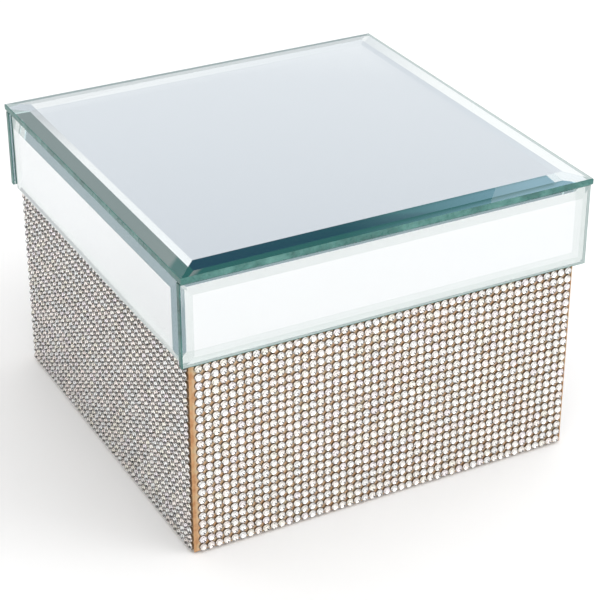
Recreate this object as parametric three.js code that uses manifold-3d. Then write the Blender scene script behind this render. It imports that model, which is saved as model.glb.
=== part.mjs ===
// Vanity trinket box: a square wooden box clad in crystal mesh, with a hinged lid clad in bevelled
// mirror glass and a velvet lining. Millimetres, +Z up. The origin is the centre of the underside,
// -Y is the front and +Y the hinge side.
import * as THREE from "three";
import { ConvexGeometry } from "three/addons/geometries/ConvexGeometry.js";
import { mergeVertices } from "three/addons/utils/BufferGeometryUtils.js";
import Module from "manifold-3d";

const wasm = await Module();
wasm.setup();

// ---------------------------------------------------------------- driving dimensions

// Wooden carcass, outside its walls
const carcassWidth = 124;
const carcassDepth = 124;
const bodyHeight = 63; // table to the seam
const lidHeight = 29; // seam to the top of the glass
const wall = 5;
const baseBoard = 3;
const lidBoard = 3;

// Felt under the base
const feltThickness = 1;
const feltInset = 1.5;

// Crystal mesh on the four body walls
const meshThickness = 1.6;
const meshBacking = 0.5; // of its thickness, without the stones
const meshButt = 0.15; // between a sheet's end and the back of the next sheet
const meshLift = 0.5; // its lower edge above the table
const meshDrop = 0.3; // its upper edge below the seam

// Mirror glass: the top pane covers the upper ends of the four side strips
const paneThickness = 3;
const paneBevel = 6.5;
const paneLand = 1.9; // upright edge left under the bevel
const stripThickness = 3;
const stripBevel = 3.4;
const stripLand = 2;
const stripGap = 0.3; // lower edge above the mesh with the lid closed
const stripSeat = 0.2; // upper edge below the top pane

// Velvet lining
const floorPad = 2;
const lidPad = 1.5;
const velvet = 1;
const velvetDrop = 1; // from the rim to the edge of the side linings

// Gaps
const glueLine = 0.15; // wood to wood, and card or mesh to wood
const masticLine = 0.5; // glass to wood
const seamGap = 0.2; // rim to rim with the lid closed
const clearance = 0.2; // around let-in metal

// Stop hinges, let into the back rims
const hingeWidth = 20;
const hingeSpacing = 70; // between the two hinges' middles
const leafThickness = 0.6;
const leafSetback = 1; // from the wall's inner face to the leaf's front edge
const knuckleRadius = 1.6;
const knuckleStandOff = 0.3; // behind the back glass
const middleKnuckle = 8;
const knuckleGap = 0.2;
const pinRadius = 0.8;
const pinClearance = 0.06;
const pinHeadRadius = 1.2;
const pinHeadThickness = 0.5;
const pinHeadGap = 0.1; // head to knuckle
const openAngle = 95; // degrees, where the stop pawl meets its flange
const pawlReach = 3.2; // from the hinge axis
const pawlThickness = 0.7;
const stopGap = 0.15; // pawl to flange at openAngle
const flangeDepth = 3.6; // below the hinge axis

// Countersunk screws
const screwHeadRadius = 1.5;
const screwShankRadius = 0.8;
const screwLength = 8;
const screwTip = 1.6;
const screwSpacing = 12;
const screwRoom = 0.1; // around head and shank
const slotWidth = 0.5;
const slotDepth = 0.25;

const roundSides = 24;
const screwSides = 16;
const overshoot = 1; // how far a cutter runs past the face that it cuts

// ---------------------------------------------------------------- places that follow

const halfWidth = carcassWidth / 2;
const halfDepth = carcassDepth / 2;
const seam = bodyHeight;
const rim = seam + seamGap; // the lid's lower edge
const top = bodyHeight + lidHeight;

const boardBottom = feltThickness + glueLine;
const boardTop = boardBottom + baseBoard;
const wallBottom = boardTop + glueLine;
const padTop = boardTop + glueLine + floorPad;

const paneBottom = top - paneThickness;
const lidBoardTop = paneBottom - masticLine;
const lidBoardBottom = lidBoardTop - lidBoard;
const railTop = lidBoardBottom - glueLine;
const lidPadBottom = lidBoardBottom - glueLine - lidPad;

const meshOffset = glueLine + meshThickness; // carcass to the stones' faces
const glassOffset = masticLine + stripThickness; // carcass to the glass faces

const axisY = halfDepth + glassOffset + knuckleStandOff + knuckleRadius;
const axisZ = seam + seamGap / 2;
const leafFront = halfDepth - wall + leafSetback;
const leafReach = axisY - knuckleRadius - clearance; // where a leaf stops short of the other's knuckle
const screwY = halfDepth - wall / 2;

// ---------------------------------------------------------------- materials

const finish = (color, roughness, metalness = 0) =>
  new THREE.MeshStandardMaterial({ color, roughness, metalness });

const materials = {
  wood: finish(0x2b2725, 0.6),
  felt: finish(0x1d1d1f, 1),
  velvet: finish(0x3a3a40, 0.95),
  crystal: finish(0xcfc2b4, 0.25, 0.6),
  mirror: finish(0xd6dde4, 0.05, 0.9),
  nickel: finish(0xc4c2bd, 0.3, 1),
};

// ---------------------------------------------------------------- solids

/** A mesh named as its piece. */
function piece(name, geometry, material) {
  const mesh = new THREE.Mesh(geometry, material);
  mesh.name = name;
  return mesh;
}

/** A box from its lowest to its highest corner. */
function boxGeometry(low, high) {
  const size = high.map((value, axis) => value - low[axis]);
  const middle = high.map((value, axis) => (value + low[axis]) / 2);
  return new THREE.BoxGeometry(...size).translate(...middle);
}

/** A round bar along X, between two places on it. */
function barGeometry(radius, fromX, toX, y, z, sides = roundSides) {
  return new THREE.CylinderGeometry(radius, radius, toX - fromX, sides)
    .rotateZ(-Math.PI / 2)
    .translate((fromX + toX) / 2, y, z);
}

/** A closed geometry as a solid that can be joined and cut. */
function solid(geometry) {
  const bare = geometry.index ? geometry.toNonIndexed() : geometry.clone();
  bare.deleteAttribute("normal");
  bare.deleteAttribute("uv");
  const merged = mergeVertices(bare, 1e-4);
  return new wasm.Manifold(
    new wasm.Mesh({
      numProp: 3,
      vertProperties: new Float32Array(merged.attributes.position.array),
      triVerts: new Uint32Array(merged.index.array),
    }),
  );
}

/** A solid as a geometry again. */
function geometryOf(made) {
  const mesh = made.getMesh();
  const geometry = new THREE.BufferGeometry();
  geometry.setAttribute("position", new THREE.BufferAttribute(mesh.vertProperties, 3));
  geometry.setIndex(new THREE.BufferAttribute(mesh.triVerts, 1));
  const flat = geometry.toNonIndexed();
  flat.computeVertexNormals();
  return flat;
}

/** The geometry of the first solid joined to others, less the cutters. */
function carve(geometries, cutters) {
  const [first, ...rest] = geometries.map(solid);
  const joined = rest.reduce((whole, part) => whole.add(part), first);
  return geometryOf(cutters.map(solid).reduce((whole, cutter) => whole.subtract(cutter), joined));
}

/**
 * A bevelled glass plate lying face up: a rectangle with upright lands, whose upper edges slope in
 * to the flat face. It is centred on X and Y, with its back at z = 0.
 */
function bevelledPlate(width, depth, thickness, bevel, land) {
  const corners = (halfX, halfY, z) =>
    [
      [-1, -1],
      [1, -1],
      [1, 1],
      [-1, 1],
    ].map(([sideX, sideY]) => new THREE.Vector3(sideX * halfX, sideY * halfY, z));
  return new ConvexGeometry([
    ...corners(width / 2, depth / 2, 0),
    ...corners(width / 2, depth / 2, land),
    ...corners(width / 2 - bevel, depth / 2 - bevel, thickness),
  ]);
}

// ---------------------------------------------------------------- body

/** Felt, base board and the four walls. The back wall is let in for the hinge leaves. */
function woodenBody() {
  const inner = halfDepth - wall;
  const sideReach = inner - glueLine;
  const pockets = hingePlaces().flatMap((x) => [
    leafPocket(x, seam - leafThickness - clearance, seam + overshoot),
    ...screwPlaces(x).map((screwX) => pilotHole(screwX, seam + overshoot, seam - screwLength - overshoot)),
  ]);
  return [
    piece(
      "underside_felt",
      boxGeometry(
        [-halfWidth + feltInset, -halfDepth + feltInset, 0],
        [halfWidth - feltInset, halfDepth - feltInset, feltThickness],
      ),
      materials.felt,
    ),
    piece(
      "base_board",
      boxGeometry([-halfWidth, -halfDepth, boardBottom], [halfWidth, halfDepth, boardTop]),
      materials.wood,
    ),
    piece(
      "wall_front",
      boxGeometry([-halfWidth, -halfDepth, wallBottom], [halfWidth, -inner, seam]),
      materials.wood,
    ),
    piece(
      "wall_back",
      carve([boxGeometry([-halfWidth, inner, wallBottom], [halfWidth, halfDepth, seam])], pockets),
      materials.wood,
    ),
    piece(
      "wall_left",
      boxGeometry([-halfWidth, -sideReach, wallBottom], [-halfWidth + wall, sideReach, seam]),
      materials.wood,
    ),
    piece(
      "wall_right",
      boxGeometry([halfWidth - wall, -sideReach, wallBottom], [halfWidth, sideReach, seam]),
      materials.wood,
    ),
  ];
}

/**
 * Four sheets of crystal mesh, one after the other round the box. Seen from outside, the right end
 * of each sheet butts against the back of the next one, whose bare left end lies flush with the
 * first sheet's backing.
 */
function crystalMesh() {
  const bottom = meshLift;
  const upper = seam - meshDrop;
  const notches = hingePlaces().map((x) =>
    boxGeometry(
      [x - hingeWidth / 2 - clearance, -halfDepth - meshOffset - overshoot, seam - leafThickness - clearance],
      [x + hingeWidth / 2 + clearance, -halfDepth, seam],
    ),
  );

  // A sheet is made facing -Y, half as long as the wall plus its ends, and turned about Z.
  const sheet = (name, halfLength, distance, turn, cutters = []) => {
    const slab = boxGeometry(
      [-halfLength - glueLine - meshBacking, -distance - meshOffset, bottom],
      [halfLength + glueLine - meshButt, -distance - glueLine, upper],
    );
    const mesh = piece(name, carve([slab], cutters), materials.crystal);
    mesh.rotation.z = turn;
    return mesh;
  };

  return [
    sheet("crystal_mesh_front", halfWidth, halfDepth, 0),
    sheet("crystal_mesh_right", halfDepth, halfWidth, Math.PI / 2),
    sheet("crystal_mesh_back", halfWidth, halfDepth, Math.PI, notches),
    sheet("crystal_mesh_left", halfDepth, halfWidth, -Math.PI / 2),
  ];
}

/** Velvet-covered cards inside four walls, from one height to another. */
function sideLinings(prefix, bottom, upper) {
  const outerX = halfWidth - wall - glueLine;
  const outerY = halfDepth - wall - glueLine;
  const innerX = outerX - velvet;
  const innerY = outerY - velvet;
  const sideReach = innerY - glueLine;
  return [
    piece(
      `${prefix}_front`,
      boxGeometry([-outerX, -outerY, bottom], [outerX, -innerY, upper]),
      materials.velvet,
    ),
    piece(
      `${prefix}_back`,
      boxGeometry([-outerX, innerY, bottom], [outerX, outerY, upper]),
      materials.velvet,
    ),
    piece(
      `${prefix}_left`,
      boxGeometry([-outerX, -sideReach, bottom], [-innerX, sideReach, upper]),
      materials.velvet,
    ),
    piece(
      `${prefix}_right`,
      boxGeometry([innerX, -sideReach, bottom], [outerX, sideReach, upper]),
      materials.velvet,
    ),
  ];
}

/** A velvet pad filling the space between the walls. */
function liningPad(name, bottom, upper) {
  const halfX = halfWidth - wall - glueLine;
  const halfY = halfDepth - wall - glueLine;
  return piece(name, boxGeometry([-halfX, -halfY, bottom], [halfX, halfY, upper]), materials.velvet);
}

// ---------------------------------------------------------------- lid

/** The lid's board and four rails. The back rail is let in for the hinge leaves. */
function woodenLid() {
  const inner = halfDepth - wall;
  const sideReach = inner - glueLine;
  const pockets = hingePlaces().flatMap((x) => [
    leafPocket(x, rim - overshoot, rim + leafThickness + clearance),
    ...screwPlaces(x).map((screwX) => pilotHole(screwX, rim - overshoot, rim + screwLength + overshoot)),
  ]);
  return [
    piece(
      "lid_board",
      boxGeometry([-halfWidth, -halfDepth, lidBoardBottom], [halfWidth, halfDepth, lidBoardTop]),
      materials.wood,
    ),
    piece(
      "lid_rail_front",
      boxGeometry([-halfWidth, -halfDepth, rim], [halfWidth, -inner, railTop]),
      materials.wood,
    ),
    piece(
      "lid_rail_back",
      carve([boxGeometry([-halfWidth, inner, rim], [halfWidth, halfDepth, railTop])], pockets),
      materials.wood,
    ),
    piece(
      "lid_rail_left",
      boxGeometry([-halfWidth, -sideReach, rim], [-halfWidth + wall, sideReach, railTop]),
      materials.wood,
    ),
    piece(
      "lid_rail_right",
      boxGeometry([halfWidth - wall, -sideReach, rim], [halfWidth, sideReach, railTop]),
      materials.wood,
    ),
  ];
}

/**
 * The bevelled top pane and four bevelled side strips. The front and back strips are as wide as
 * the pane and cover the ends of the side ones. The back strip is shorter, to clear the leaves.
 */
function lidMirrors() {
  const width = carcassWidth + 2 * glassOffset;
  const depth = carcassDepth + 2 * glassOffset;
  const upper = paneBottom - stripSeat;
  const bottom = seam - meshDrop + stripGap;
  const backBottom = rim + leafThickness + 2 * clearance;
  const sideLength = depth - 2 * stripThickness - 2 * clearance;

  // A strip is made lying face up, and stood with its face towards -Y, then turned about Z.
  const strip = (name, length, low, turn, distance) => {
    const height = upper - low;
    const plate = bevelledPlate(length, height, stripThickness, stripBevel, stripLand);
    const mesh = piece(name, plate.rotateX(Math.PI / 2), materials.mirror);
    mesh.rotation.z = turn;
    mesh.position.set(distance * Math.sin(turn), -distance * Math.cos(turn), (upper + low) / 2);
    return mesh;
  };

  const pane = bevelledPlate(width, depth, paneThickness, paneBevel, paneLand);
  return [
    piece("top_mirror", pane.translate(0, 0, paneBottom), materials.mirror),
    strip("side_mirror_front", width, bottom, 0, halfDepth + masticLine),
    strip("side_mirror_right", sideLength, bottom, Math.PI / 2, halfWidth + masticLine),
    strip("side_mirror_back", width, backBottom, Math.PI, halfDepth + masticLine),
    strip("side_mirror_left", sideLength, bottom, -Math.PI / 2, halfWidth + masticLine),
  ];
}

// ---------------------------------------------------------------- hinges

/** The middles of the two hinges along X. */
function hingePlaces() {
  return [-hingeSpacing / 2, hingeSpacing / 2];
}

/** The two screws of a leaf along X. */
function screwPlaces(x) {
  return [x - screwSpacing / 2, x + screwSpacing / 2];
}

/** The cutter that lets a leaf into a rim. */
function leafPocket(x, fromZ, toZ) {
  return boxGeometry(
    [x - hingeWidth / 2 - clearance, leafFront - clearance, fromZ],
    [x + hingeWidth / 2 + clearance, halfDepth + overshoot, toZ],
  );
}

/** The cutter for a screw's hole in a rim. */
function pilotHole(x, fromZ, toZ) {
  const radius = screwShankRadius + screwRoom;
  return new THREE.CylinderGeometry(radius, radius, Math.abs(toZ - fromZ), screwSides)
    .rotateX(Math.PI / 2)
    .translate(x, screwY, (fromZ + toZ) / 2);
}

/**
 * A revolved outline about an upright line, head upwards, with the head's face at z = 0. The cone
 * under the head ends at the leaf's thickness, and room widens the whole outline.
 */
function countersunk(room, length, tip) {
  const outline = [
    [0, -length],
    [screwShankRadius + room, -length + tip],
    [screwShankRadius + room, -leafThickness],
    [screwHeadRadius + room, 0],
    [0, 0],
  ];
  const points = outline.map(([radius, z]) => new THREE.Vector2(radius, z));
  return new THREE.LatheGeometry(points, screwSides).rotateX(Math.PI / 2);
}

/** A screw at x, its head's face at z. A lid screw stands the other way up. */
function screw(name, x, z, inLid) {
  const slot = boxGeometry(
    [-screwHeadRadius, -slotWidth / 2, -slotDepth],
    [screwHeadRadius, slotWidth / 2, overshoot],
  );
  const made = carve([countersunk(0, screwLength, screwTip)], [slot]);
  const mesh = piece(name, made, materials.nickel);
  mesh.rotation.x = inLid ? Math.PI : 0;
  mesh.position.set(x, screwY, z);
  return mesh;
}

/** The countersunk hole through a leaf, at x, with its wide end at z. */
function leafHole(x, z, inLid) {
  const hole = countersunk(screwRoom, leafThickness + overshoot, 0);
  if (inLid) hole.rotateX(Math.PI);
  return hole.translate(x, screwY, z);
}

/**
 * The pawl's direction with the lid shut, in radians from +Y towards +Z. It is openAngle ahead of
 * the direction in which the pawl's leading corner is stopGap short of the flange.
 */
function pawlDirection() {
  const flangeBack = leafReach - axisY;
  const cornerReach = Math.hypot(pawlReach, pawlThickness / 2);
  const cornerLead = Math.atan2(pawlThickness / 2, pawlReach);
  const cornerAtStop = -Math.acos((flangeBack + stopGap) / cornerReach);
  return cornerAtStop + cornerLead + THREE.MathUtils.degToRad(openAngle);
}

/** One stop hinge about x: two leaves, a pin and four screws, split between body and lid. */
function stopHinge(side, x) {
  const halfHinge = hingeWidth / 2;
  const halfMiddle = middleKnuckle / 2;
  const innerEnd = halfMiddle + knuckleGap;
  const bore = () =>
    barGeometry(
      pinRadius + pinClearance,
      x - halfHinge - overshoot,
      x + halfHinge + overshoot,
      axisY,
      axisZ,
    );

  // The body's leaf carries the two outer knuckles, and the stop flange in front of the middle one.
  const bodyLeafTop = seam;
  const bodyLeafBottom = seam - leafThickness;
  const bodyLeaf = carve(
    [
      boxGeometry([x - halfHinge, leafFront, bodyLeafBottom], [x + halfHinge, leafReach, bodyLeafTop]),
      boxGeometry([x - halfHinge, leafFront, bodyLeafBottom], [x - innerEnd, axisY, bodyLeafTop]),
      boxGeometry([x + innerEnd, leafFront, bodyLeafBottom], [x + halfHinge, axisY, bodyLeafTop]),
      barGeometry(knuckleRadius, x - halfHinge, x - innerEnd, axisY, axisZ),
      barGeometry(knuckleRadius, x + innerEnd, x + halfHinge, axisY, axisZ),
      boxGeometry(
        [x - halfMiddle, leafReach - leafThickness, axisZ - flangeDepth],
        [x + halfMiddle, leafReach, bodyLeafTop],
      ),
    ],
    [bore(), ...screwPlaces(x).map((screwX) => leafHole(screwX, bodyLeafTop, false))],
  );

  // The lid's leaf carries the middle knuckle with the pawl.
  const lidLeafBottom = rim;
  const lidLeafTop = rim + leafThickness;
  const pawl = boxGeometry(
    [x - halfMiddle, 0, -pawlThickness / 2],
    [x + halfMiddle, pawlReach, pawlThickness / 2],
  )
    .rotateX(pawlDirection())
    .translate(0, axisY, axisZ);
  const lidLeaf = carve(
    [
      boxGeometry([x - halfHinge, leafFront, lidLeafBottom], [x + halfHinge, leafReach, lidLeafTop]),
      boxGeometry([x - halfMiddle, leafFront, lidLeafBottom], [x + halfMiddle, axisY, lidLeafTop]),
      barGeometry(knuckleRadius, x - halfMiddle, x + halfMiddle, axisY, axisZ),
      pawl,
    ],
    [bore(), ...screwPlaces(x).map((screwX) => leafHole(screwX, lidLeafBottom, true))],
  );

  const headInside = halfHinge + pinHeadGap;
  const headOutside = headInside + pinHeadThickness;
  const pin = carve(
    [
      barGeometry(pinRadius, x - headOutside, x + headOutside, axisY, axisZ),
      barGeometry(pinHeadRadius, x - headOutside, x - headInside, axisY, axisZ),
      barGeometry(pinHeadRadius, x + headInside, x + headOutside, axisY, axisZ),
    ],
    [],
  );
  return [
    piece(`hinge_${side}_body_leaf`, bodyLeaf, materials.nickel),
    piece(`hinge_${side}_lid_leaf`, lidLeaf, materials.nickel),
    piece(`hinge_${side}_pin`, pin, materials.nickel),
    ...screwPlaces(x).flatMap((screwX, index) => [
      screw(`hinge_${side}_body_screw_${index + 1}`, screwX, bodyLeafTop, false),
      screw(`hinge_${side}_lid_screw_${index + 1}`, screwX, lidLeafBottom, true),
    ]),
  ];
}

// ---------------------------------------------------------------- assembly

const trinketBox = new THREE.Group();
trinketBox.add(
  ...woodenBody(),
  ...crystalMesh(),
  liningPad("floor_pad", boardTop + glueLine, padTop),
  ...sideLinings("body_lining", padTop + glueLine, seam - velvetDrop),
  ...woodenLid(),
  ...lidMirrors(),
  liningPad("lid_pad", lidPadBottom, lidBoardBottom - glueLine),
  ...sideLinings("lid_lining", rim + velvetDrop, lidPadBottom - glueLine),
  ...stopHinge("left", hingePlaces()[0]),
  ...stopHinge("right", hingePlaces()[1]),
);

export default trinketBox;
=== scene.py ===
# %% [markdown]
# # A trinket box of mirror glass and crystal mesh
# The box is a lacquered fibreboard carcass. Its body is dressed in sheets of small crystals, and its
# lid in five panes of bevelled mirror glass. Inside, velvet covers every wall. The frame below is the
# engineering model: it says where each piece sits and what it moves with. This script makes the
# surfaces that are seen, and leaves every place and every joint as the frame has them.

# %% Load the frame
import math

import bpy
import numpy as np
from mathutils import Matrix, Vector


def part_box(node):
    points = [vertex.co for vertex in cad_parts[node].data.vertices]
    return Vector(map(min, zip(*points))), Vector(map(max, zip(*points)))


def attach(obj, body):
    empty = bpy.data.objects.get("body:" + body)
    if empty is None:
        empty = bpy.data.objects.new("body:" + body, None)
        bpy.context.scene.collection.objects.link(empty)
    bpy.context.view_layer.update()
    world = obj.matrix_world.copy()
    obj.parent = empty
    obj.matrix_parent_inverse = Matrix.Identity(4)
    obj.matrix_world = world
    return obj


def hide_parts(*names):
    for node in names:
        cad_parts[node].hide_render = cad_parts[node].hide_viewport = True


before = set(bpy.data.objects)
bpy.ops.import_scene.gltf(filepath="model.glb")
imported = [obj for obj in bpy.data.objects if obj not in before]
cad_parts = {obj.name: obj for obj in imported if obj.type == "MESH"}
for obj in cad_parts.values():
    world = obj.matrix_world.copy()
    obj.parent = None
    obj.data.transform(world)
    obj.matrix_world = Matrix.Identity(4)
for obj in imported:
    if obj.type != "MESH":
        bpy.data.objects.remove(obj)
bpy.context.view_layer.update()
MM = 0.001
chance = np.random.default_rng(7)

# %% [markdown]
# ## Helpers
# Every new piece is an array of corners and some patches of faces, each patch with its own finish.
# Most pieces are flat-backed things that stand on one side of the box, so they are worked out lying
# down: u runs to the right and v upwards as seen from outside, and w runs out towards the viewer.

# %% Sides of the box, and how a lying piece is stood on one
SIDES = {
    "front": ((1, 0, 0), (0, 0, 1), (0, -1, 0)),
    "right": ((0, 1, 0), (0, 0, 1), (1, 0, 0)),
    "back": ((-1, 0, 0), (0, 0, 1), (0, 1, 0)),
    "left": ((0, -1, 0), (0, 0, 1), (-1, 0, 0)),
    "top": ((1, 0, 0), (0, 1, 0), (0, 0, 1)),
    "under": ((-1, 0, 0), (0, 1, 0), (0, 0, -1)),
}
# A lining stands on the inner face of its wall, which is seen from the opposite side.
INNER = {"front": "back", "back": "front", "left": "right", "right": "left"}


def room_of(node, side):
    """The u, v and w size of a node as seen from a side, in metres."""
    low, high = (np.array(corner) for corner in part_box(node))
    return np.abs(np.array(SIDES[side]) @ (high - low))


def stand(points, node, side):
    """Points in u, v, w turned into the frame: the node's lowest corner plus each times its axis."""
    axes = np.array(SIDES[side], float)
    low, high = (np.array(corner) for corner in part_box(node))
    corner = np.minimum(axes @ low, axes @ high)
    return (corner + points) @ axes


print("the top pane is", [round(size / MM, 1) for size in room_of("top_mirror", "top")], "mm")


# %% A mesh piece from corners and patches of faces
def make_piece(name, corners, patches, body, node):
    """Corners are points in metres. A patch is an array of faces, a material, and True if it is smooth."""
    mesh = bpy.data.meshes.new(name)
    mesh.from_pydata(corners.tolist(), [], [row for patch in patches for row in patch[0].tolist()])
    counts = [len(patch[0]) for patch in patches]
    finishes = list(dict.fromkeys(patch[1] for patch in patches))
    for finish in finishes:
        mesh.materials.append(finish)
    mesh.polygons.foreach_set(
        "material_index", np.repeat([finishes.index(patch[1]) for patch in patches], counts)
    )
    mesh.polygons.foreach_set("use_smooth", np.repeat([patch[2] for patch in patches], counts))
    mesh.update()
    made = bpy.data.objects.new(name, mesh)
    bpy.context.scene.collection.objects.link(made)
    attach(made, body)
    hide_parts(node)
    return made


def grid_faces(rows, columns):
    """Faces between the points of a grid, row by row: each face joins a point to three neighbours."""
    number = np.arange(rows * columns).reshape(rows, columns)
    return np.stack(
        [number[:-1, :-1], number[:-1, 1:], number[1:, 1:], number[1:, :-1]], axis=-1
    ).reshape(-1, 4)


def ring_faces(first, second, count):
    """Faces between two rings of count points that start at the numbers first and second."""
    here = np.arange(count)
    after = (here + 1) % count
    return np.stack([first + here, first + after, second + after, second + here], axis=-1)


def closed_form(front):
    """The corners of a grid and of its flat back, at w = 0, and the faces of the front, back and rim."""
    rows, columns = front.shape[:2]
    back_start = rows * columns
    number = np.arange(back_start).reshape(rows, columns)
    outline = np.concatenate([number[0, :-1], number[:-1, -1], number[-1, :0:-1], number[:0:-1, 0]])
    rim = np.stack([outline, np.roll(outline, -1)], axis=-1)
    rim = np.concatenate([rim[:, ::-1], rim + back_start], axis=-1)
    corners = np.concatenate([front.reshape(-1, 3), (front * (1, 1, 0)).reshape(-1, 3)])
    faces = grid_faces(rows, columns)
    return corners, faces, faces[:, ::-1] + back_start, rim


# %% [markdown]
# ## Camera and light
# A long lens looks down on the near corner. The studio is a pale floor under a soft white dome. Behind
# the box the dome has a light blue-grey patch, with a dark blue band under it: mirrors show only
# what is around them, and it is these two that give the glass its colour and its bevels their depth.

# %% Camera
AZIMUTH, ELEVATION = math.radians(-27.9), math.radians(28.9)
LID_SIDE = room_of("top_mirror", "top")[0]
# How far off the camera stands, the height it aims at and the shift of that aim, as shares of the lid.
DISTANCE, AIM_HEIGHT, SHIFT_RIGHT, SHIFT_DOWN = 4.6, 0.35, 0.030, 0.066
back_way = np.array(
    [
        math.sin(AZIMUTH) * math.cos(ELEVATION),
        -math.cos(AZIMUTH) * math.cos(ELEVATION),
        math.sin(ELEVATION),
    ]
)
right_way = np.array([math.cos(AZIMUTH), math.sin(AZIMUTH), 0])
up_way = np.cross(back_way, right_way)
shift = (SHIFT_RIGHT * right_way - SHIFT_DOWN * up_way) * LID_SIDE
aim = np.array([0, 0, AIM_HEIGHT * LID_SIDE]) + shift
camera = bpy.data.objects.new("camera", bpy.data.cameras.new("camera"))
camera.data.lens = 116
camera.data.clip_start, camera.data.clip_end = 0.01, 30
stand_at = aim + back_way * DISTANCE * LID_SIDE
columns = np.stack([right_way, up_way, back_way, stand_at], axis=1)
camera.matrix_world = Matrix([*columns.tolist(), (0, 0, 0, 1)])
bpy.context.scene.collection.objects.link(camera)
bpy.context.scene.camera = camera
bpy.context.scene.view_settings.view_transform = "Standard"
print("camera at", [round(c, 3) for c in camera.matrix_world.translation])


# %% Node helpers
def add_node(tree, kind, values=None, **settings):
    """A new node in a tree, with its settings and the plain values of its inputs."""
    node = tree.nodes.new(kind)
    for name, value in settings.items():
        setattr(node, name, value)
    for name, value in (values or {}).items():
        node.inputs[name].default_value = value
    return node


def set_stops(ramp, stops):
    """Gives a Color Ramp node its stops, each a place and a colour."""
    while len(ramp.color_ramp.elements) < len(stops):
        ramp.color_ramp.elements.new(1)
    for element, (place, colour) in zip(ramp.color_ramp.elements, stops):
        element.position = place
        element.color = (*colour, 1)


def rise(tree, source, low, high):
    """0 up to low and 1 from high on. If high is the lesser, it falls instead."""
    node = add_node(tree, "ShaderNodeMapRange", {"From Min": low, "From Max": high})
    tree.links.new(source, node.inputs["Value"])
    return node.outputs["Result"]


def combine(tree, operation, first, second):
    """The sum, difference or product of two sockets."""
    node = add_node(tree, "ShaderNodeMath", operation=operation)
    tree.links.new(first, node.inputs[0])
    tree.links.new(second, node.inputs[1])
    return node.outputs["Value"]


def blend(tree, under, over, share):
    """One colour over another by a share. Each is three numbers or a socket."""
    mix = add_node(tree, "ShaderNodeMix", data_type="RGBA")
    for socket, value in (("A", under), ("B", over)):
        if isinstance(value, tuple):
            mix.inputs[socket].default_value = (*value, 1)
        else:
            tree.links.new(value, mix.inputs[socket])
    tree.links.new(share, mix.inputs["Factor"])
    return mix.outputs["Result"]


# %% Studio dome
world = bpy.data.worlds.new("studio dome")
world.use_nodes = True
bpy.context.scene.world = world
sky = world.node_tree
background = sky.nodes["Background"]
direction = add_node(sky, "ShaderNodeTexCoord").outputs["Generated"]
height = add_node(sky, "ShaderNodeSeparateXYZ")
sky.links.new(direction, height.inputs[0])
# The wall behind the box, from the horizon upwards by the sine of the height above it.
wall_tone = add_node(sky, "ShaderNodeValToRGB")
set_stops(
    wall_tone,
    [
        (0.27, (1.0, 1.0, 1.0)),
        (0.34, (0.96, 0.98, 1.0)),
        (0.38, (0.76, 0.79, 0.83)),
        (0.47, (0.64, 0.675, 0.725)),
        (0.53, (0.70, 0.74, 0.79)),
        (0.58, (1.0, 1.0, 1.0)),
    ],
)
sky.links.new(height.outputs["Z"], wall_tone.inputs["Fac"])
level = add_node(sky, "ShaderNodeVectorMath", {1: (1, 1, 0)}, operation="MULTIPLY")
sky.links.new(direction, level.inputs[0])
unit = add_node(sky, "ShaderNodeVectorMath", operation="NORMALIZE")
sky.links.new(level.outputs[0], unit.inputs[0])


def near_way(source, way, full, none):
    """1 within full degrees of a direction, falling to 0 at none degrees from it."""
    nearness = add_node(sky, "ShaderNodeVectorMath", {1: way}, operation="DOT_PRODUCT")
    sky.links.new(source, nearness.inputs[0])
    spread_out = add_node(
        sky,
        "ShaderNodeMapRange",
        {"From Min": math.cos(math.radians(none)), "From Max": math.cos(math.radians(full))},
        interpolation_type="SMOOTHSTEP",
    )
    sky.links.new(nearness.outputs["Value"], spread_out.inputs["Value"])
    return spread_out.outputs["Result"]


def near_level_way(degrees, full, none):
    """The same for a level direction at some degrees from +Y towards +X, at every height."""
    turn = math.radians(degrees)
    return near_way(unit.outputs[0], (math.sin(turn), math.cos(turn), 0), full, none)


dome = blend(sky, (1.0, 1.0, 1.0), wall_tone.outputs["Color"], near_level_way(26, 22, 34))
# A dark blue backdrop stands low in front of the wall.
backdrop = combine(sky, "MULTIPLY", rise(sky, height.outputs["Z"], 0.27, 0.19), near_level_way(0, 26, 40))
dome = blend(sky, dome, (0.02, 0.055, 0.105), backdrop)
# The room to the left is unlit up to well above head height, which leaves that side's hollows dark.
unlit = combine(sky, "MULTIPLY", rise(sky, height.outputs["Z"], 0.8, 0.55), near_level_way(-85, 25, 50))
dome = blend(sky, dome, (0.0, 0.0, 0.0), unlit)
# A large soft lamp hangs round the camera. The camera and whoever holds it are dark, and the crystals
# throw them back as specks.
dome = blend(sky, dome, (1.9, 1.88, 1.85), near_way(direction, tuple(back_way), 24, 40))
dome = blend(sky, dome, (0.02, 0.02, 0.025), near_way(direction, tuple(back_way), 13, 17))
# All this is for the mirrors and the stones. What the camera sees past the floor is plain white.
seen = add_node(sky, "ShaderNodeLightPath")
dome = blend(sky, dome, (1.0, 1.0, 1.0), seen.outputs["Is Camera Ray"])
sky.links.new(dome, background.inputs["Color"])
background.inputs["Strength"].default_value = 1.08
print("the dome is made of", len(sky.nodes), "nodes")


# %% Key light
def soft_light(name, place, aim_at, size, power):
    """A square area light that looks at a point."""
    lamp = bpy.data.objects.new(name, bpy.data.lights.new(name, "AREA"))
    lamp.data.size = size
    lamp.data.energy = power
    lamp.location = place
    way = Vector(aim_at) - Vector(place)
    lamp.rotation_euler = way.to_track_quat("-Z", "Y").to_euler()
    bpy.context.scene.collection.objects.link(lamp)
    return lamp


key = soft_light("key", (0.55, -0.55, 0.95), (0, 0, 0.04), 0.5, 2.0)
print(key.name, "light of", key.data.energy, "W,", key.data.size, "m wide")

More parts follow.
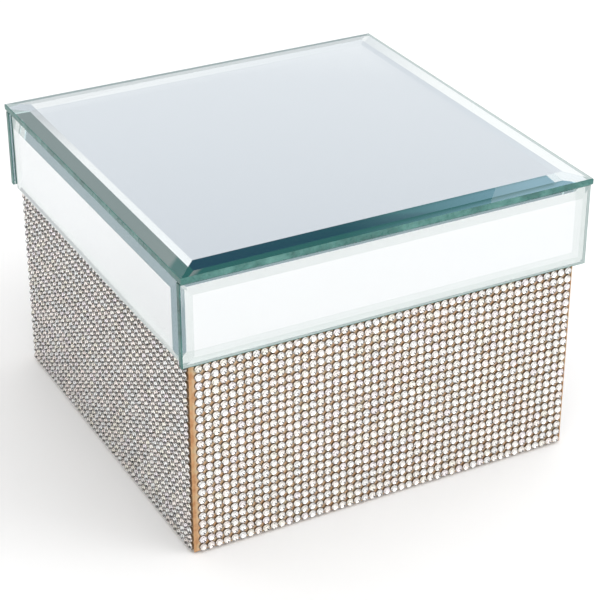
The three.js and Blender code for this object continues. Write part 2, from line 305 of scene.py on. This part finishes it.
# %% [markdown]
# ## Finishes
# Effects that several finishes share are node groups: a slow mottling, which turns an even gloss into
# a handled one, and a short pile, which is the nap of velvet and felt. Each finish keeps its own shader.

# %% Shared effects
def effect(name, inputs, outputs):
    """An empty shader node group with named sockets, and its input and output nodes."""
    group = bpy.data.node_groups.new(name, "ShaderNodeTree")
    for socket, kind, value in inputs:
        made = group.interface.new_socket(socket, in_out="INPUT", socket_type=kind)
        if value is not None:
            made.default_value = value
    for socket, kind in outputs:
        group.interface.new_socket(socket, in_out="OUTPUT", socket_type=kind)
    return group, group.nodes.new("NodeGroupInput"), group.nodes.new("NodeGroupOutput")


mottle, mottle_in, mottle_out = effect(
    "mottle",
    [
        ("Position", "NodeSocketVector", None),
        ("Scale", "NodeSocketFloat", 100.0),
        ("Low", "NodeSocketFloat", 0.0),
        ("High", "NodeSocketFloat", 1.0),
    ],
    [("Value", "NodeSocketFloat")],
)
clouds = add_node(mottle, "ShaderNodeTexNoise", {"Detail": 4, "Roughness": 0.6})
spread = add_node(mottle, "ShaderNodeMapRange", {"From Min": 0.35, "From Max": 0.65})
mottle.links.new(mottle_in.outputs["Position"], clouds.inputs["Vector"])
mottle.links.new(mottle_in.outputs["Scale"], clouds.inputs["Scale"])
mottle.links.new(clouds.outputs["Fac"], spread.inputs["Value"])
mottle.links.new(mottle_in.outputs["Low"], spread.inputs["To Min"])
mottle.links.new(mottle_in.outputs["High"], spread.inputs["To Max"])
mottle.links.new(spread.outputs["Result"], mottle_out.inputs["Value"])

pile, pile_in, pile_out = effect(
    "short pile",
    [
        ("Position", "NodeSocketVector", None),
        ("Fibre Scale", "NodeSocketFloat", 3000.0),
        ("Brush Scale", "NodeSocketFloat", 60.0),
        ("Deep", "NodeSocketColor", (0.01, 0.01, 0.01, 1)),
        ("Raised", "NodeSocketColor", (0.05, 0.05, 0.05, 1)),
    ],
    [("Color", "NodeSocketColor"), ("Height", "NodeSocketFloat")],
)
fibres = add_node(pile, "ShaderNodeTexNoise", {"Detail": 3, "Roughness": 0.7})
brushed = add_node(pile, "ShaderNodeTexNoise", {"Detail": 2, "Distortion": 0.6})
share = add_node(pile, "ShaderNodeMix", {0: 0.35}, data_type="FLOAT")
tone = add_node(pile, "ShaderNodeMix", data_type="RGBA")
stretch = add_node(pile, "ShaderNodeMapRange", {"From Min": 0.36, "From Max": 0.64})
pile.links.new(pile_in.outputs["Position"], fibres.inputs["Vector"])
pile.links.new(pile_in.outputs["Fibre Scale"], fibres.inputs["Scale"])
pile.links.new(pile_in.outputs["Position"], brushed.inputs["Vector"])
pile.links.new(pile_in.outputs["Brush Scale"], brushed.inputs["Scale"])
pile.links.new(fibres.outputs["Fac"], share.inputs["A"])
pile.links.new(brushed.outputs["Fac"], share.inputs["B"])
pile.links.new(share.outputs["Result"], stretch.inputs["Value"])
# The colour follows mostly the fibre height: the deep pile is darker than the raised pile, which is painted
# shade in the nap, and the brush pattern adds a random tone.
pile.links.new(stretch.outputs["Result"], tone.inputs["Factor"])
pile.links.new(pile_in.outputs["Deep"], tone.inputs["A"])
pile.links.new(pile_in.outputs["Raised"], tone.inputs["B"])
pile.links.new(tone.outputs["Result"], pile_out.inputs["Color"])
pile.links.new(fibres.outputs["Fac"], pile_out.inputs["Height"])
print("effects:", mottle.name, "and", pile.name)


# %% A finish with its shader
def finish(name, colour, **values):
    """A material with its node tree, its shader and the position that its patterns read.

    The other values are inputs of the shader, with _ for a space in their names.
    """
    material = bpy.data.materials.new(name)
    material.use_nodes = True
    material.diffuse_color = (*colour, 1)
    shader = material.node_tree.nodes["Principled BSDF"]
    shader.inputs["Base Color"].default_value = (*colour, 1)
    for key, value in values.items():
        shader.inputs[key.replace("_", " ")].default_value = value
    position = add_node(material.node_tree, "ShaderNodeTexCoord").outputs["Object"]
    return material, material.node_tree, shader, position


def use_mottle(tree, position, scale, low, high, socket):
    """Feeds a socket with the mottle effect at one scale, between two values."""
    node = add_node(tree, "ShaderNodeGroup", node_tree=mottle)
    for key, value in (("Scale", scale), ("Low", low), ("High", high)):
        node.inputs[key].default_value = value
    tree.links.new(position, node.inputs["Position"])
    tree.links.new(node.outputs["Value"], socket)
    return node


def use_bump(tree, height_socket, shader, strength, distance):
    """Gives a shader a bump from a height."""
    bump = add_node(tree, "ShaderNodeBump", {"Strength": strength, "Distance": distance})
    tree.links.new(height_socket, bump.inputs["Height"])
    tree.links.new(bump.outputs["Normal"], shader.inputs["Normal"])


# %% [markdown]
# ## Mirror glass
# A mirror could be a polished metal plate, but a bevelled one owes its look to the glass: each bevel
# shows another part of the room, and the edges are green. So the glass is a clear finish, the silver a
# metal one on its back, and the ground edge a third.

# %% Glass, silver and ground edge
# The glass is a little green, and a bevel shows it more than the flat does, because light runs further
# through it there. The tints are also painted shade: the bevels, and every face of the side strips, are
# darker than the green alone makes them, in place of dimmer parts of the room in their reflection.
pane_glass, tree, shader, position = finish(
    "pane glass", (0.98, 0.99, 0.985), IOR=1.52, Transmission_Weight=1.0
)
pane_tint_and_shade = add_node(tree, "ShaderNodeAttribute", attribute_name="pane_tint_and_shade")
tree.links.new(pane_tint_and_shade.outputs["Color"], shader.inputs["Base Color"])
use_mottle(tree, position, 55, 0.0, 0.012, shader.inputs["Roughness"])

# Light that is caught in a pane runs on between the silver and the face, and leaves at a far edge as a
# dim green grey. The silver gives it as a painted glow: after a few turns that much is added, once.


def silver_back(name, painted_glow_colour):
    """Silvering on the back of a pane, with a painted glow in the colour that caught light would add to it.
    """
    material, tree, shader, position = finish(name, (0.93, 0.945, 0.95), Metallic=1.0, Roughness=0.0)
    # The painted glow is lit on the fifth and sixth turns: a ray meets the silver on only one of them.
    turns = add_node(tree, "ShaderNodeLightPath")
    glow_turn = add_node(tree, "ShaderNodeMath", {1: 5.5, 2: 1.0}, operation="COMPARE")
    tree.links.new(turns.outputs["Ray Depth"], glow_turn.inputs[0])
    tree.links.new(glow_turn.outputs["Value"], shader.inputs["Emission Strength"])
    shader.inputs["Emission Color"].default_value = (*painted_glow_colour, 1)
    use_mottle(tree, position, 40, 0.0, 0.012, shader.inputs["Roughness"])
    return material, tree, shader, position


# The side strips' silvering, with a painted glow of pale green grey.
silvering = silver_back("silvering", (0.40, 0.50, 0.54))[0]

# The painted glow on the top pane's silvering is dimmer at the front, up to the left front mitre, because
# light caught there would come from the dark backdrop. Next to the edge it turns pale blue to the right.
# Places are in metres.
PAINTED_GLOW, PAINTED_GLOW_DIM, PAINTED_GLOW_BLUE = (0.24, 0.30, 0.29), (0.04, 0.16, 0.15), (0.26, 0.46, 0.56)
top_silvering, tree, shader, position = silver_back("top silvering", PAINTED_GLOW)
place = add_node(tree, "ShaderNodeSeparateXYZ")
tree.links.new(position, place.inputs[0])
across, back = place.outputs["X"], place.outputs["Y"]
# Masks by place for the painted glow: a dim band at the front, and a blue one next to the edge.
off_left = rise(tree, combine(tree, "SUBTRACT", across, back), -0.009, -0.007)
front_band = combine(tree, "MULTIPLY", rise(tree, back, -0.034, -0.038), off_left)
by_edge = combine(tree, "MULTIPLY", rise(tree, back, -0.045, -0.049), rise(tree, across, -0.01, 0.055))
dim_glow_tone = blend(tree, PAINTED_GLOW_DIM, PAINTED_GLOW_BLUE, by_edge)
tree.links.new(blend(tree, PAINTED_GLOW, dim_glow_tone, front_band), shader.inputs["Emission Color"])

# The ground edge is frosted and teal from outside. Seen from inside the pane it is black with a painted
# glow, which stands in for the light that comes in through it.
ground_edge, tree, shader, position = finish("ground edge", (0.12, 0.42, 0.34), Roughness=0.3, IOR=1.52)
grind = add_node(tree, "ShaderNodeTexNoise", {"Scale": 160, "Detail": 5, "Roughness": 0.65})
tree.links.new(position, grind.inputs["Vector"])
edge_tone = add_node(tree, "ShaderNodeValToRGB")
set_stops(edge_tone, [(0.30, (0.02, 0.09, 0.08)), (0.50, (0.045, 0.17, 0.15)), (0.68, (0.11, 0.28, 0.25))])
tree.links.new(grind.outputs["Fac"], edge_tone.inputs["Fac"])
inside = add_node(tree, "ShaderNodeNewGeometry").outputs["Backfacing"]
edge_side = blend(tree, edge_tone.outputs["Color"], (0.0, 0.0, 0.0), inside)
tree.links.new(edge_side, shader.inputs["Base Color"])
# The painted glow, only on the inside faces.
shader.inputs["Emission Color"].default_value = (0.50, 0.58, 0.57, 1)
tree.links.new(inside, shader.inputs["Emission Strength"])
use_mottle(tree, position, 900, 0.22, 0.42, shader.inputs["Roughness"])
print("glass finishes:", [made.name for made in (pane_glass, silvering, top_silvering, ground_edge)])

# %% [markdown]
# ## Crystal, foil and gilt
# Pale dots painted on a sheet would look the same from every side, and a cut stone does not. So the
# stone is clear glass over a bright foil, with a faint tint of its own from an attribute. The cups are
# dark brown: partly their own metal and partly painted shade, which darkens the gaps between the stones.
# The backing is one gilt in two tones, lighter between the stones and darker where it lies bare at the
# selvage: painted light and shade.

# %% Crystals, their foil, cups and backing
crystal, tree, shader, position = finish(
    "clear crystal", (0.98, 0.98, 0.98), IOR=1.56, Transmission_Weight=1.0, Roughness=0.0
)
tint_and_shade = add_node(tree, "ShaderNodeAttribute", attribute_name="tint_and_shade")
tree.links.new(tint_and_shade.outputs["Color"], shader.inputs["Base Color"])

foil, tree, shader, position = finish("stone foil", (0.95, 0.94, 0.92), Metallic=1.0, Roughness=0.06)
use_mottle(tree, position, 2500, 0.03, 0.12, shader.inputs["Roughness"])

# The cups are dark brown: partly their own metal and partly painted shade, which darkens the gaps between
# the stones.
cup_metal_and_shade, tree, shader, position = finish(
    "cup metal and shade", (0.17, 0.115, 0.072), Roughness=0.35, Specular_IOR_Level=0.2
)
use_mottle(tree, position, 1500, 0.3, 0.5, shader.inputs["Roughness"])

gilt, tree, shader, position = finish("gilt backing", (0.62, 0.42, 0.22), Metallic=0.3, Roughness=0.4)
patches = add_node(tree, "ShaderNodeTexNoise", {"Scale": 420, "Detail": 3, "Roughness": 0.6})
tree.links.new(position, patches.inputs["Vector"])
gilt_tone = add_node(tree, "ShaderNodeValToRGB")
set_stops(gilt_tone, [(0.34, (0.66, 0.38, 0.19)), (0.5, (0.82, 0.56, 0.33)), (0.66, (0.76, 0.62, 0.40))])
tree.links.new(patches.outputs["Fac"], gilt_tone.inputs["Fac"])
# The attribute darkens the gilt where it lies bare at the selvage, and leaves it lighter between the
# stones: one gilt in two tones, painted light and shade.
bare_gilt_shade = add_node(tree, "ShaderNodeAttribute", attribute_name="tint_and_shade")
gilt_look = add_node(tree, "ShaderNodeMix", {0: 1.0}, data_type="RGBA", blend_type="MULTIPLY")
tree.links.new(gilt_tone.outputs["Color"], gilt_look.inputs["A"])
tree.links.new(bare_gilt_shade.outputs["Color"], gilt_look.inputs["B"])
tree.links.new(gilt_look.outputs["Result"], shader.inputs["Base Color"])
use_mottle(tree, position, 1500, 0.3, 0.5, shader.inputs["Roughness"])
print("crystal finishes:", [made.name for made in (crystal, foil, cup_metal_and_shade, gilt)])

# %% [markdown]
# ## Lacquer, cloth and nickel
# Sprayed lacquer has a slight orange peel, which is a bump. The nap of velvet and felt could be hair, but
# it is too short to be told apart, so a fine pattern gives its colour and bump, with sheen over it. The
# colour is darker where the pile is deep, which is painted shade in the nap.
# The hinges are bright nickel whose gloss is a little uneven.

# %% Lacquered board, velvet, felt and nickel
lacquer, tree, shader, position = finish("black lacquer", (0.022, 0.020, 0.019), Roughness=0.35)
use_mottle(tree, position, 120, 0.28, 0.5, shader.inputs["Roughness"])
peel = add_node(tree, "ShaderNodeTexNoise", {"Scale": 700, "Detail": 2})
tree.links.new(position, peel.inputs["Vector"])
use_bump(tree, peel.outputs["Fac"], shader, 0.25, 0.0002)


def pile_finish(name, deep, raised, fibre_scale, brush_scale, **values):
    """A cloth: the shared pile effect for colour and bump, on a shader with its own sheen."""
    material, tree, shader, position = finish(name, raised, **values)
    node = add_node(tree, "ShaderNodeGroup", node_tree=pile)
    for key, value in (
        ("Fibre Scale", fibre_scale),
        ("Brush Scale", brush_scale),
        ("Deep", (*deep, 1)),
        ("Raised", (*raised, 1)),
    ):
        node.inputs[key].default_value = value
    tree.links.new(position, node.inputs["Position"])
    tree.links.new(node.outputs["Color"], shader.inputs["Base Color"])
    use_bump(tree, node.outputs["Height"], shader, 0.5, 0.0003)
    return material


velvet = pile_finish(
    "charcoal velvet", (0.010, 0.010, 0.012), (0.045, 0.045, 0.052), 2600, 45,
    Roughness=0.9, Sheen_Weight=0.6, Sheen_Roughness=0.35,
)
felt = pile_finish(
    "black felt", (0.008, 0.008, 0.009), (0.035, 0.035, 0.038), 1400, 160,
    Roughness=1.0, Sheen_Weight=0.15, Sheen_Roughness=0.6,
)

nickel, tree, shader, position = finish("nickel plate", (0.70, 0.68, 0.64), Metallic=1.0, Roughness=0.25)
use_mottle(tree, position, 220, 0.13, 0.19, shader.inputs["Roughness"])
print("finishes:", len(bpy.data.materials))

# %% [markdown]
# ## Bevelled panes
# Each pane is 3 mm glass with a wide polished bevel, an upright ground edge and a silvered back. The
# light really goes through it: it bends at the face or the bevel, meets the silver, and bends again on
# its way out. So a pane is a closed body whose back faces carry the silver, and its bevels show a
# different part of the room from its middle, as they do on the real thing.

# %% Pane made from a profile carried round a rectangle
ARRIS = 0.3 * MM
# The tint of a pane's flat and of its bevels: the glass's own green, darkened as painted shade on the
# bevels and on the strips.
TOP_TINTS_AND_SHADE = (0.985, 0.993, 0.99), (0.93, 0.96, 0.955)
STRIP_TINTS_AND_SHADE = (0.885, 0.892, 0.897), (0.69, 0.735, 0.72)
# The width of a bevel, and how high the glass stands at its outer edge.
TOP_BEVEL, TOP_LAND = 6.5 * MM, 1.9 * MM
STRIP_BEVEL, STRIP_LAND = 3.4 * MM, 2.0 * MM


def bevelled_pane(name, node, side, bevel, land, tints_and_shade, silver):
    """A rectangular pane with an upright edge and a wide bevel.

    Each step of a profile of inset and height is a ring of four corners. Rings are joined by four
    faces a step, and closed by the flat in front and the silvered back.
    """
    length, width, thickness = room_of(node, side)
    slope = (thickness - land) / bevel
    profile = [
        (ARRIS, 0),
        (0, ARRIS),
        (0, land - ARRIS * slope),
        (ARRIS, land + ARRIS * slope),
        (bevel, thickness),
    ]
    corners = np.concatenate(
        [
            [
                (inset, inset, level),
                (length - inset, inset, level),
                (length - inset, width - inset, level),
                (inset, width - inset, level),
            ]
            for inset, level in profile
        ]
    )
    rings = [ring_faces(4 * step, 4 * step + 4, 4) for step in range(len(profile) - 1)]
    face = np.arange(4)[None] + 4 * (len(profile) - 1)
    made = make_piece(
        name,
        stand(corners, node, side),
        [
            (np.arange(4)[None, ::-1], silver, False),
            (np.concatenate(rings[:3]), ground_edge, False),
            (np.concatenate([rings[3], face]), pane_glass, False),
        ],
        "lid",
        node,
    )
    # The flat takes the first tint and every other face the second, painted shade included.
    face_tints_and_shade = np.tile([*tints_and_shade[1], 1.0], (len(made.data.polygons), 1))
    face_tints_and_shade[-1] = (*tints_and_shade[0], 1.0)
    tint_and_shade_layer = made.data.attributes.new("pane_tint_and_shade", "FLOAT_COLOR", "FACE")
    tint_and_shade_layer.data.foreach_set("color", face_tints_and_shade.ravel())
    print(name, "is", [round(size / MM, 1) for size in (length, width, thickness)], "mm")
    return made


bevelled_pane(
    "top_mirror_pane", "top_mirror", "top", TOP_BEVEL, TOP_LAND, TOP_TINTS_AND_SHADE, top_silvering
)
for side in ("front", "right", "back", "left"):
    node = f"side_mirror_{side}"
    bevelled_pane(
        f"{side}_mirror_strip", node, side, STRIP_BEVEL, STRIP_LAND, STRIP_TINTS_AND_SHADE, silvering
    )

# %% [markdown]
# ## Crystal mesh
# The mesh is a thin gilt backing set with rows of small cut stones, each in a metal cup. A stone is a
# clear crown over a foiled cone: the crown bends the light and the cone sends it back, so it flashes.
# One stone and one cup are worked out as rings of points, and copied to every place at once.

# %% One stone and its cup
BACKING, DIP = 0.32 * MM, 0.12 * MM
SELVAGE = 1.4 * MM
COLUMNS, ROWS = 49, 23
STONE_SIDES = 12
CULET = 0.34 * MM
# The stone's rings from the table down to its widest: a radius and a level.
CROWN = [(0.56 * MM, 1.57 * MM), (0.97 * MM, 1.31 * MM), (1.20 * MM, 0.84 * MM)]
GIRDLE = CROWN[-1][1]
CUP_RADIUS = 1.22 * MM


def ring(radius, level):
    """Points on a circle: radius times the cosine and sine of equal angles, at one level."""
    angle = np.arange(STONE_SIDES) * 2 * np.pi / STONE_SIDES
    return np.stack([radius * np.cos(angle), radius * np.sin(angle), np.full(STONE_SIDES, level)], axis=-1)


stone = np.concatenate([*(ring(radius, level) for radius, level in CROWN), [(0, 0, CULET)]])
table_face = np.arange(STONE_SIDES)[None]
crown_faces = np.concatenate(
    [ring_faces(STONE_SIDES * (step + 1), STONE_SIDES * step, STONE_SIDES) for step in (0, 1)]
)
around = np.arange(STONE_SIDES)
tip_corner = np.full(STONE_SIDES, len(stone) - 1)
girdle_after, girdle_here = 2 * STONE_SIDES + (around + 1) % STONE_SIDES, 2 * STONE_SIDES + around
foil_faces = np.stack([tip_corner, girdle_after, girdle_here], axis=-1)
cup = np.concatenate([ring(CUP_RADIUS, BACKING * 0.9), ring(CUP_RADIUS, GIRDLE + 0.07 * MM)])
cup_faces = ring_faces(0, STONE_SIDES, STONE_SIDES)
print("a stone has", 1 + len(crown_faces) + len(foil_faces), "faces and its cup", len(cup_faces))


# %% Backing with a shallow dip between each four cups
def backing_slab(height, pitch_u, pitch_v):
    """A closed slab whose front is level under the cups and dips between them.

    The dip is DIP times the product of two raised cosines, one along u and one along v.
    """
    u = np.concatenate([[0, SELVAGE * 0.5], SELVAGE + np.arange(2 * COLUMNS + 1) * pitch_u / 2])
    v = np.append(np.arange(2 * ROWS + 1) * pitch_v / 2, height)
    across, up = np.meshgrid(u, v)
    wave_u = np.where(across < SELVAGE, 0, 1 + np.cos(2 * np.pi * (across - SELVAGE) / pitch_u)) / 2
    wave_v = (1 + np.cos(2 * np.pi * up / pitch_v)) / 2
    front = np.stack([across, up, BACKING - DIP * wave_u * wave_v], axis=-1)
    corners, *faces = closed_form(front)
    return corners, faces


# %% A sheet: backing, cups and stones
BARE_TOP = 0.5 * MM
# How much darker the bare gilt at the selvage is than the lighter gilt between the stones: painted shade.
BARE_GILT_SHADE = (0.70, 0.58, 0.47)
# How far a stone may sit off its place, in millimetres, and the spread of its tipping.
OFF_PLACE = 0.02
TIPPING = math.radians(2.0)
# The tints that stones come in, and how many of each there are.
TINT_SHARES = (0.4, 0.2, 0.2, 0.1, 0.1)
TINTS = np.array(
    [
        (0.98, 0.955, 0.935),
        (0.99, 0.925, 0.90),
        (0.94, 0.945, 0.955),
        (0.98, 0.95, 0.88),
        (0.96, 0.91, 0.945),
    ]
)


def crystal_sheet(side):
    """Copies of the stone and the cup at the crossings of even columns and rows, on a backing.

    Each copy is a little off its place, and each stone is turned and tipped by chance.
    """
    node = f"crystal_mesh_{side}"
    length, height, thickness = room_of(node, side)
    pitch_u = (length - SELVAGE) / COLUMNS
    pitch_v = (height - BARE_TOP) / ROWS
    u, v = np.meshgrid(SELVAGE + (np.arange(COLUMNS) + 0.5) * pitch_u, (np.arange(ROWS) + 0.5) * pitch_v)
    places = np.stack([u, v, np.zeros_like(u)], axis=-1).reshape(-1, 3)
    places[:, :2] += chance.uniform(-OFF_PLACE, OFF_PLACE, (len(places), 2)) * MM
    count = len(places)

    turn = chance.uniform(0, 2 * np.pi, count)
    tip = chance.normal(0, TIPPING, (count, 2))
    x = stone[:, 0] * np.cos(turn)[:, None] - stone[:, 1] * np.sin(turn)[:, None]
    y = stone[:, 0] * np.sin(turn)[:, None] + stone[:, 1] * np.cos(turn)[:, None]
    z = np.broadcast_to(stone[:, 2], x.shape)
    level = z - GIRDLE
    stones = np.stack(
        [x + level * tip[:, :1], y + level * tip[:, 1:], z - x * tip[:, :1] - y * tip[:, 1:]], axis=-1
    )
    stones = (stones + places[:, None]).reshape(-1, 3)
    cups = (cup[None] + places[:, None]).reshape(-1, 3)

    slab, slab_faces = backing_slab(height, pitch_u, pitch_v)
    stone_start = np.arange(count)[:, None, None] * len(stone)
    cup_start = np.arange(count)[:, None, None] * len(cup) + count * len(stone)
    slab_start = count * (len(stone) + len(cup))
    points = np.concatenate([stones, cups, slab])
    made = make_piece(
        f"crystal_sheet_{side}",
        stand(points, node, side),
        [
            ((crown_faces + stone_start).reshape(-1, 4), crystal, False),
            ((table_face + stone_start).reshape(-1, STONE_SIDES), crystal, False),
            ((foil_faces + stone_start).reshape(-1, 3), foil, False),
            ((cup_faces + cup_start).reshape(-1, 4), cup_metal_and_shade, True),
            *[(faces + slab_start, gilt, False) for faces in slab_faces],
        ],
        "base",
        node,
    )
    tints_and_shade = np.ones((len(points), 4))
    drawn = TINTS[chance.choice(len(TINTS), count, p=TINT_SHARES)]
    tints_and_shade[: len(stones), :3] = np.repeat(drawn, len(stone), axis=0)
    # The bare gilt at the selvage takes the painted shade; the rest of the backing keeps the lighter tone.
    tints_and_shade[slab_start:, :3] = np.where(slab[:, :1] < SELVAGE * 0.9, BARE_GILT_SHADE, 1.0)
    made.data.attributes.new("tint_and_shade", "FLOAT_COLOR", "POINT").data.foreach_set("color", tints_and_shade.ravel())
    print(made.name, ":", count, "stones", round(pitch_u / MM, 2), "by", round(pitch_v / MM, 2), "mm apart")
    return made


for side in ("front", "right", "back", "left"):
    crystal_sheet(side)

# %% [markdown]
# ## Velvet and felt
# The linings are card covered in velvet, and the two pads have foam under the velvet. Velvet has no
# crisp edge: it turns over the card in a small round and the middle stands a little proud. Foam could
# be left to a cloth simulation, but a pad this thin and tight is a form that a formula gives.

# %% Padded panel
# The width of a panel's rise towards the middle, and the height and two lengths of its slow ripple.
SWELL_REACH = 10 * MM
RIPPLE, RIPPLE_U, RIPPLE_V = 0.06, 7 * MM, 9 * MM
# Where the grid has its lines near an edge, in radii of the rounding.
NEAR_EDGE = np.array([0, 0.1, 0.3, 0.6, 1.0, 1.8, 3.2, 5.5, 9.0])


def padded_panel(name, node, side, roll, crown, cloth, body):
    """A closed form on a grid.

    Its front rises over each edge in a quarter circle of radius roll. Then it rises by crown towards
    the middle, as 1 less an exponential of the distance to the edge.
    """
    length, width, thickness = room_of(node, side)
    near = NEAR_EDGE * roll

    def spaced(size):
        inner = np.linspace(near[-1], size - near[-1], max(3, int(size / (4 * MM))))
        return np.concatenate([near[:-1], inner, (size - near[:-1])[::-1]])

    u, v = np.meshgrid(spaced(length), spaced(width))
    inset_u = np.minimum(u, length - u)
    inset_v = np.minimum(v, width - v)

    def quarter(inset):
        return np.sqrt(np.clip(1 - (1 - np.clip(inset / roll, 0, 1)) ** 2, 0, 1))

    def swell(inset):
        return 1 - np.exp(-inset / SWELL_REACH)

    low = thickness - roll - crown
    ripple = RIPPLE * crown * (np.sin(u / RIPPLE_U) * np.sin(v / RIPPLE_V + 1))
    top = low + roll * quarter(inset_u) * quarter(inset_v) + crown * swell(inset_u) * swell(inset_v)
    top = top + ripple * swell(inset_u) * swell(inset_v)
    front = np.stack([u, v, top], axis=-1)
    corners, face, back, rim = closed_form(front)
    return make_piece(
        name,
        stand(corners, node, side),
        [
            (face, cloth, True),
            (back, cloth, False),
            (rim, cloth, False),
        ],
        body,
        node,
    )


floor_pad = padded_panel(
    "velvet_floor_pad", "floor_pad", "top", 0.8 * MM, 0.6 * MM, velvet, "base"
)
lid_pad = padded_panel("velvet_lid_pad", "lid_pad", "under", 0.6 * MM, 0.4 * MM, velvet, "lid")
for body, prefix, wall in (("base", "body_lining", "wall"), ("lid", "lid_lining", "lid_rail")):
    for side in ("front", "right", "back", "left"):
        node = f"{prefix}_{side}"
        lining = padded_panel(
            f"velvet_{node}", node, INNER[side], 0.5 * MM, 0.15 * MM, velvet, body
        )

underside = padded_panel(
    "felt_underside", "underside_felt", "under", 0.4 * MM, 0.1 * MM, felt, "base"
)

# %% [markdown]
# ## Boards and hinges
# The carcass boards and the hinge parts have their true shape in the frame already, so they only take
# a finish.

# %% Finishes for the frame's own pieces
for name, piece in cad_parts.items():
    wood = "wall" in name or "board" in name or "rail" in name
    if wood or name.startswith("hinge"):
        piece.data.materials.clear()
        piece.data.materials.append(lacquer if wood else nickel)
        print(name, "is", piece.data.materials[0].name)

# %% [markdown]
# ## Floor and card
# The floor is plain and pale. A small dark card hangs behind the box, out of the camera's sight. Only the
# face of the lid's front bevel reflects it, and without it a pale veil would lie on that bevel.

# %% Pale floor and dark card
def stage_plane(name, corners, paint):
    """A flat piece of the studio with four corners."""
    mesh = bpy.data.meshes.new(name)
    mesh.from_pydata(corners, [], [(0, 1, 2, 3)])
    mesh.materials.append(paint)
    made = bpy.data.objects.new(name, mesh)
    bpy.context.scene.collection.objects.link(made)
    return made


floor_paint, tree, shader, position = finish("pale floor", (0.95, 0.95, 0.95), Roughness=0.8)
shader.inputs["Specular IOR Level"].default_value = 0.1
shader.inputs["Emission Color"].default_value = (1, 1, 1, 1)
shader.inputs["Emission Strength"].default_value = 0.09
REACH = 6.0
stage_plane(
    "floor", [(-REACH, -REACH, 0), (REACH, -REACH, 0), (REACH, REACH, 0), (-REACH, REACH, 0)], floor_paint
)
card_paint, tree, shader, position = finish("dark card", (0.01, 0.02, 0.035), Roughness=0.9)
use_mottle(tree, position, 20, 0.85, 0.95, shader.inputs["Roughness"])
BEHIND, LEFT, RIGHT, LOW, HIGH = 0.20, 0.05, 0.27, 0.345, 0.47
card = stage_plane(
    "card",
    [(LEFT, BEHIND, LOW), (RIGHT, BEHIND, LOW), (RIGHT, BEHIND, HIGH), (LEFT, BEHIND, HIGH)],
    card_paint,
)
card.visible_camera = False
